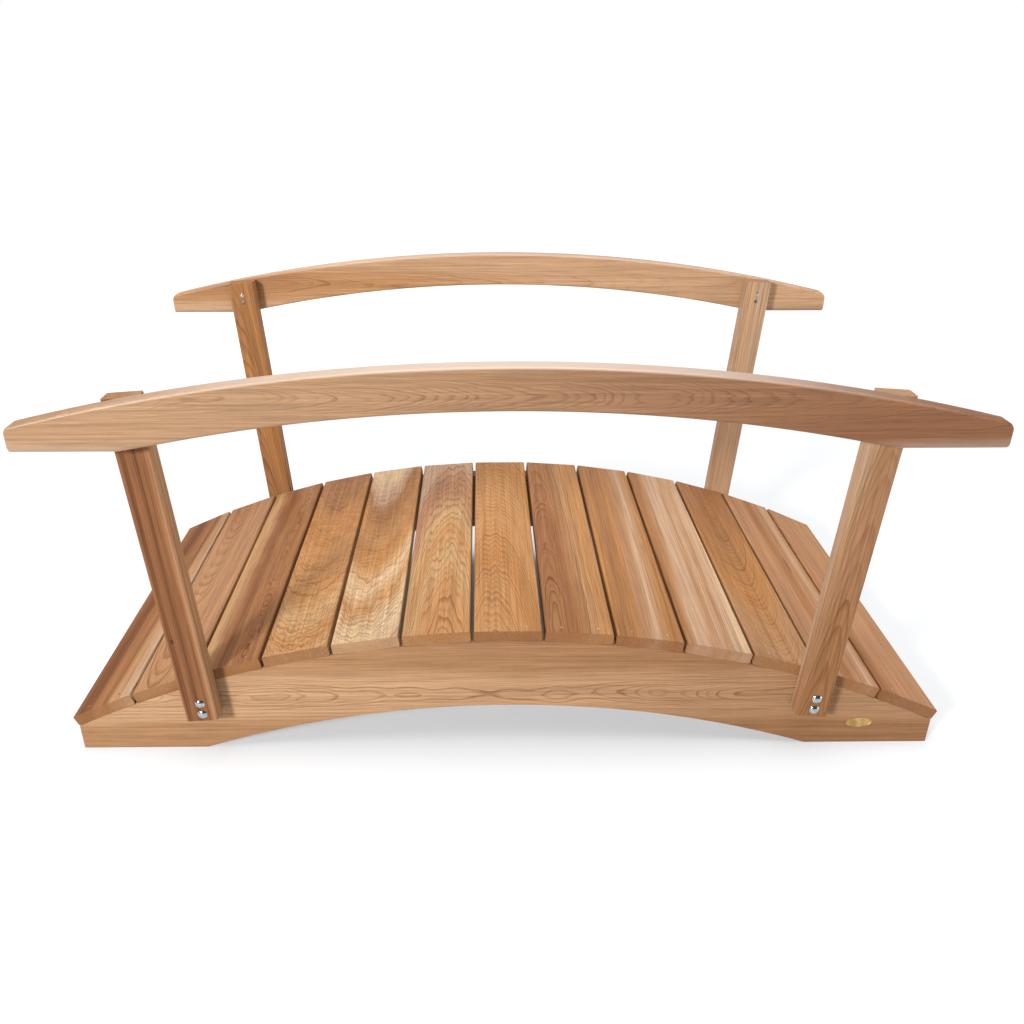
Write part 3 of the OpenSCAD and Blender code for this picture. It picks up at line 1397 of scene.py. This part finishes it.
@dataclass
class CarriageBolts:
    """Two bolts through each post's foot and the beam, each with its washer and nut inside."""

    posts: Posts
    zinc: bpy.types.Material
    heights: tuple[float, ...] = (0.0165, 0.043)
    aside: float = 0.003
    head_radius: float = 0.0103
    head_height: float = 0.0044
    rim: float = 0.0009
    shank_radius: float = 0.0047
    grip: float = 0.076
    washer_radius: float = 0.0115
    washer_depth: float = 0.0018
    nut_flats: float = 0.0143
    nut_depth: float = 0.0082
    thread_pitch: float = 0.0016
    thread_turns: int = 4
    thread_share: float = 0.84
    tip_share: float = 0.8
    nut_sides: int = 6
    bore_margin: float = 1.2
    edge_share: float = 0.06
    edge_angle: float = math.radians(50)
    segments: int = 40

    def bolt(self) -> bmesh.types.BMesh:
        """Makes a bolt along Z.

        Returns:
            The bolt, with its head on Z 0 and its thread below.
        """
        shape = domed_cap(self.head_radius, self.head_height, self.segments)
        bmesh.ops.translate(shape, vec=(0.0, 0.0, self.rim), verts=shape.verts[:])
        rim = drawn_out(shape, rim_of(shape), -self.rim, 1.0)
        rim = drawn_out(shape, rim, 0.0, self.shank_radius / self.head_radius)
        rim = drawn_out(shape, rim, -self.grip - self.washer_depth - self.nut_depth, 1.0)
        for _ in range(self.thread_turns):
            rim = drawn_out(shape, rim, -self.thread_pitch / 2, self.thread_share)
            rim = drawn_out(shape, rim, -self.thread_pitch / 2, 1.0 / self.thread_share)
        rim = drawn_out(shape, rim, -self.thread_pitch / 2, self.tip_share)
        bmesh.ops.edgeloop_fill(shape, edges=rim)
        bmesh.ops.recalc_face_normals(shape, faces=shape.faces[:])
        return shape

    def ring(self, radius: float, depth: float, sides: int) -> bmesh.types.BMesh:
        """Makes a washer or a nut round the shank, with its outer face on Z 0 and the rest below.

        Args:
            radius: The outline's radius at its corners.
            depth: Its depth along Z.
            sides: Sides of the outline.

        Returns:
            The ring.
        """
        shape = bmesh.new()
        loops = []
        for count, reach in ((sides, radius), (self.segments, self.shank_radius)):
            made = bmesh.ops.create_circle(shape, cap_ends=False, segments=count, radius=reach)
            loops += {edge for vert in made["verts"] for edge in vert.link_edges}
        faces = bmesh.ops.bridge_loops(shape, edges=loops)["faces"]
        solid = bmesh.ops.extrude_face_region(shape, geom=faces)["geom"]
        bmesh.ops.translate(shape, vec=(0.0, 0.0, -depth), verts=verts_in(solid))
        bmesh.ops.recalc_face_normals(shape, faces=shape.faces[:])
        bore = self.bore_margin * self.shank_radius
        outer = [e for e in shape.edges if min(v.co.xy.length for v in e.verts) > bore]
        sharp = [e for e in outer if e.calc_face_angle(0.0) > self.edge_angle]
        ease_edges(shape, sharp, self.edge_share * radius)
        return shape

    def build(self) -> None:
        """Seats every bolt on its post, with the washer and nut on the beam's inner face."""
        bolt = self.bolt()
        washer = self.ring(self.washer_radius, self.washer_depth, self.segments)
        nut = self.ring(self.nut_flats / math.sqrt(3.0), self.nut_depth, self.nut_sides)
        for side, end, place in self.posts.places():
            foot = place.centre - place.grain_axis() * place.half_length
            for number, height in enumerate(self.heights, 1):
                spot = foot + place.grain_axis() * height
                spot += Vector((self.aside, side.value * place.half_depth, 0.0))
                placing = Matrix.Translation(spot) @ facing(side)
                inside = placing @ Matrix.Translation((0.0, 0.0, -self.grip))
                outside_washer = inside @ Matrix.Translation((0.0, 0.0, -self.washer_depth))
                tag = f"{side.word}_{end.word}_{number}"
                for word, shape, where in (
                    ("bolt", bolt, placing),
                    ("washer", washer, inside),
                    ("nut", nut, outside_washer),
                ):
                    copy = shape.copy()
                    copy.transform(where)
                    finished_piece(f"{word}_{tag}", copy, self.zinc)
        for shape in (bolt, washer, nut):
            shape.free()


@dataclass
class RailScrews:
    """Two screws through each post's head into the rail. The deep-driven one sits flush, its head dark
    with painted shade.
    """

    posts: Posts
    bright: bpy.types.Material
    dark: bpy.types.Material
    below_top: tuple[float, float] = (0.032, 0.052)
    head_radius: float = 0.0047
    crown: float = 0.0006
    slot_depth: float = 0.0007
    slot_taper: float = 0.85
    flat_share: float = 0.5
    flat_cells: int = 5
    rim_taper: float = 0.9

    def head(self) -> bmesh.types.BMesh:
        """Makes a screw head with a cross slot.

        Returns:
            The head, with its rim on Z 0.
        """
        flat = self.flat_share * self.head_radius
        cell = 2.0 * flat / self.flat_cells
        shape = bmesh.new()
        bmesh.ops.create_grid(shape, x_segments=self.flat_cells, y_segments=self.flat_cells, size=flat)
        arms = [f for f in shape.faces if self._in_cross(f.calc_center_median(), cell)]
        made = bmesh.ops.extrude_face_region(shape, geom=arms)["geom"]
        sunk = verts_in(made)
        bmesh.ops.delete(shape, geom=arms, context="FACES_ONLY")
        bmesh.ops.translate(shape, vec=(0.0, 0.0, -self.slot_depth), verts=sunk)
        bmesh.ops.scale(shape, vec=(self.slot_taper, self.slot_taper, 1.0), verts=sunk)
        rim = [e for e in rim_of(shape) if abs(e.verts[0].co.z) < HAIR]
        made = bmesh.ops.extrude_edge_only(shape, edges=rim)["geom"]
        for vert in verts_in(made):
            vert.co *= self.head_radius / vert.co.length
            vert.co.z = -self.crown
        bmesh.ops.translate(shape, vec=(0.0, 0.0, self.crown), verts=shape.verts[:])
        drawn_out(shape, rim_of(shape), -2.0 * self.crown, self.rim_taper)
        bmesh.ops.holes_fill(shape, edges=rim_of(shape))
        bmesh.ops.recalc_face_normals(shape, faces=shape.faces[:])
        return shape

    @staticmethod
    def _in_cross(spot: Vector, cell: float) -> bool:
        """Tells whether a cell of the head belongs to the cross slot.

        Args:
            spot: The cell's middle.
            cell: The cells' width.

        Returns:
            Whether it lies in one of the cross's arms.
        """
        near = min(abs(spot.x), abs(spot.y))
        far = max(abs(spot.x), abs(spot.y))
        return near < 0.5 * cell and far < 1.5 * cell

    def build(self) -> None:
        """Seats the screws on the posts' inner faces."""
        head = self.head()
        for side, end, place in self.posts.places():
            top = place.centre + place.grain_axis() * place.half_length
            # The lower head takes the dark finish: painted shade for a screw sunk in its hole
            for below, material, word in zip(self.below_top, (self.bright, self.dark), ("upper", "lower")):
                spot = top - place.grain_axis() * below
                spot.y -= side.value * place.half_depth
                inward = Matrix.Rotation(side.value * math.pi / 2, 4, "X")
                copy = head.copy()
                copy.transform(Matrix.Translation(spot) @ inward)
                name = f"rail_screw_{side.word}_{end.word}_{word}"
                finished_piece(name, copy, material)
        head.free()


@dataclass
class DeckNails:
    """Two nails at each end of each board, driven into the beams."""

    deck: Deck
    zinc: bpy.types.Material
    from_middle: float = 0.038
    from_end: float = 0.019
    head_radius: float = 0.0027
    head_height: float = 0.0006
    scatter: float = 0.0018
    segments: int = 14
    seed: int = 5

    def build(self) -> None:
        """Drives the nails, one piece for each board."""
        dice = random.Random(self.seed)
        head = domed_cap(self.head_radius, self.head_height, self.segments)
        drawn_out(head, rim_of(head), -self.head_height, 1.0)
        bmesh.ops.holes_fill(head, edges=rim_of(head))
        bmesh.ops.recalc_face_normals(head, faces=head.faces[:])
        for name, place in self.deck.places():
            board = Matrix.Translation(place.centre) @ Matrix.Rotation(place.tilt, 4, "Y")
            reach = place.half_length - self.from_end
            shape = bmesh.new()
            for across in (-self.from_middle, self.from_middle):
                for along in (-reach, reach):
                    aside = dice.uniform(-self.scatter, self.scatter)
                    onward = dice.uniform(-self.scatter, self.scatter)
                    spot = (across + aside, along + onward, place.half_depth)
                    add_copy(shape, head, board @ Matrix.Translation(spot))
            finished_piece(f"nails_{name}", shape, self.zinc)
        head.free()


@dataclass
class BlankPlate:
    """The small oval plate on the front beam, left blank, with a raised border."""

    brass: bpy.types.Material
    centre_x: float = 0.759
    centre_z: float = 0.054
    half_length: float = 0.0285
    half_height: float = 0.0125
    depth: float = 0.0012
    border: float = 0.0016
    sunk: float = 0.0004
    step_share: float = 0.25
    edge_share: float = 0.35
    edge_angle: float = math.radians(60)
    level: float = 0.9
    segments: int = 72

    def build(self) -> None:
        """Makes the plate and seats it on the beam's outer face."""
        shape = bmesh.new()
        bmesh.ops.create_circle(shape, cap_ends=True, segments=self.segments, radius=1.0)
        bmesh.ops.scale(shape, vec=(self.half_length, self.half_height, 1.0), verts=shape.verts[:])
        made = bmesh.ops.extrude_face_region(shape, geom=shape.faces[:])["geom"]
        bmesh.ops.translate(shape, vec=(0.0, 0.0, self.depth), verts=verts_in(made))
        bmesh.ops.recalc_face_normals(shape, faces=shape.faces[:])
        upper = [f for f in shape.faces if f.normal.z > self.level]
        bmesh.ops.inset_region(shape, faces=upper, thickness=self.border, use_even_offset=True)
        middle = max((f for f in shape.faces if f.normal.z > self.level), key=lambda f: f.calc_area())
        step = self.step_share * self.border
        bmesh.ops.inset_region(shape, faces=[middle], thickness=step, depth=-self.sunk)
        sharp = [e for e in shape.edges if e.calc_face_angle(0.0) > self.edge_angle]
        rim = [e for e in sharp if min(v.co.z for v in e.verts) > self.depth / 2]
        ease_edges(shape, rim, self.edge_share * self.depth)
        low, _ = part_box("front_beam")
        spot = Vector((self.centre_x, low.y, self.centre_z))
        shape.transform(Matrix.Translation(spot) @ facing(Side.FRONT))
        finished_piece("blank_plate", shape, self.brass)


@dataclass(frozen=True)
class Softbox:
    """A square softbox that points at the bridge."""

    name: str
    place: tuple[float, float, float]
    size: float
    power: float
    use: LightUse = LightUse.BOTH

    def hang(self, aim: Vector) -> None:
        """Hangs the softbox.

        Args:
            aim: The place that it is turned towards.
        """
        lamp = bpy.data.lights.new(self.name, "AREA")
        lamp.shape = "SQUARE"
        lamp.size = self.size
        lamp.energy = self.power
        box = bpy.data.objects.new(self.name, lamp)
        box.location = self.place
        box.rotation_euler = (aim - Vector(self.place)).to_track_quat("-Z", "Y").to_euler()
        box.visible_camera = False
        box.visible_diffuse = self.use is not LightUse.SHEEN
        box.visible_glossy = self.use is not LightUse.LIGHT
        bpy.context.scene.collection.objects.link(box)


@dataclass
class Studio:
    """A pale floor, soft light and the camera."""

    floor_half: float = 200.0
    dome: float = 0.08
    overhead: float = 1.22
    overhead_spread: float = math.radians(60)
    softboxes: tuple[Softbox, ...] = (
        Softbox("key_softbox", (-3.5, -4.85, 2.85), 0.95, 475.0),
        Softbox("fill_softbox", (4.8, -0.4, 0.9), 2.0, 165.0),
        Softbox("rear_softbox", (-1.5, 4.2, 1.8), 2.4, 60.0, LightUse.LIGHT),
        Softbox("rear_card", (0.0, 7.0, 3.5), 8.0, 200.0, LightUse.SHEEN),
    )
    aim: tuple[float, float, float] = (0.0, 0.0, 0.35)
    camera_at: tuple[float, float, float] = (-0.052, -2.0085, 1.3418)
    pitch: float = math.radians(26.307)
    yaw: float = math.radians(0.676)
    sensor: float = 36.0
    lens: float = 32.349
    shift: float = 0.0198

    def build_floor(self) -> None:
        """Lays the floor at the bridge's feet."""
        shape = bmesh.new()
        bmesh.ops.create_grid(shape, x_segments=4, y_segments=4, size=self.floor_half)
        mesh = bpy.data.meshes.new("floor")
        shape.to_mesh(mesh)
        shape.free()
        mesh.materials.append(PaleFloor().material("pale_floor"))
        floor = bpy.data.objects.new("floor", mesh)
        bpy.context.scene.collection.objects.link(floor)

    def add_overhead(self) -> None:
        """Adds the wide, even light from above."""
        lamp = bpy.data.lights.new("overhead_light", "SUN")
        lamp.energy = self.overhead * math.pi
        lamp.angle = self.overhead_spread
        overhead = bpy.data.objects.new("overhead_light", lamp)
        bpy.context.scene.collection.objects.link(overhead)

    def light(self) -> None:
        """Lights the scene from all round, from above, and with softboxes before a white backdrop."""
        tree = ShaderTree(bpy.data.worlds.new("studio_dome"))
        behind = Signal(tree, tree.add("ShaderNodeLightPath").outputs["Is Camera Ray"])
        strength = self.dome + (1.0 - self.dome) * behind
        dome = tree.add("ShaderNodeBackground", None, {"Color": linear(WHITE), "Strength": strength})
        tree.add("ShaderNodeOutputWorld", None, {"Surface": dome.outputs[0]})
        scene = bpy.context.scene
        scene.world = tree.holder
        scene.view_settings.view_transform = "Standard"
        self.add_overhead()
        for softbox in self.softboxes:
            softbox.hang(Vector(self.aim))

    def place_camera(self) -> None:
        """Sets the camera at the photograph's viewing angle."""
        optics = bpy.data.cameras.new("camera")
        optics.sensor_width = self.sensor
        optics.lens = self.lens
        optics.shift_x = self.shift
        camera = bpy.data.objects.new("camera", optics)
        camera.location = self.camera_at
        camera.rotation_euler = (math.pi / 2 - self.pitch, 0.0, -self.yaw)
        bpy.context.scene.collection.objects.link(camera)
        bpy.context.scene.camera = camera


def main() -> None:
    """Dresses the timbers, seats the ironwork and sets the studio."""
    logging.basicConfig(level=logging.INFO, format="%(name)s: %(message)s")
    deck = Deck()
    posts = Posts()
    SideBeams().dress()
    deck.dress()
    posts.dress()
    Handrails().build()
    zinc = Zinc().material("bright_zinc_plating")
    # Dark finish for the deep-driven screw's head: painted shade of its hole
    driven = Zinc(bright="6E6A66", dull="2C2622", roughness=0.4).material("driven_screw_head")
    CarriageBolts(posts, zinc).build()
    RailScrews(posts, zinc, driven).build()
    nails = Zinc(bright="9C9994", dull="55504B", roughness=0.45).material("dull_nail_heads")
    DeckNails(deck, nails).build()
    BlankPlate(Brass().material("satin_brass")).build()
    studio = Studio()
    studio.build_floor()
    studio.light()
    studio.place_camera()


if __name__ == "__main__":
    main()
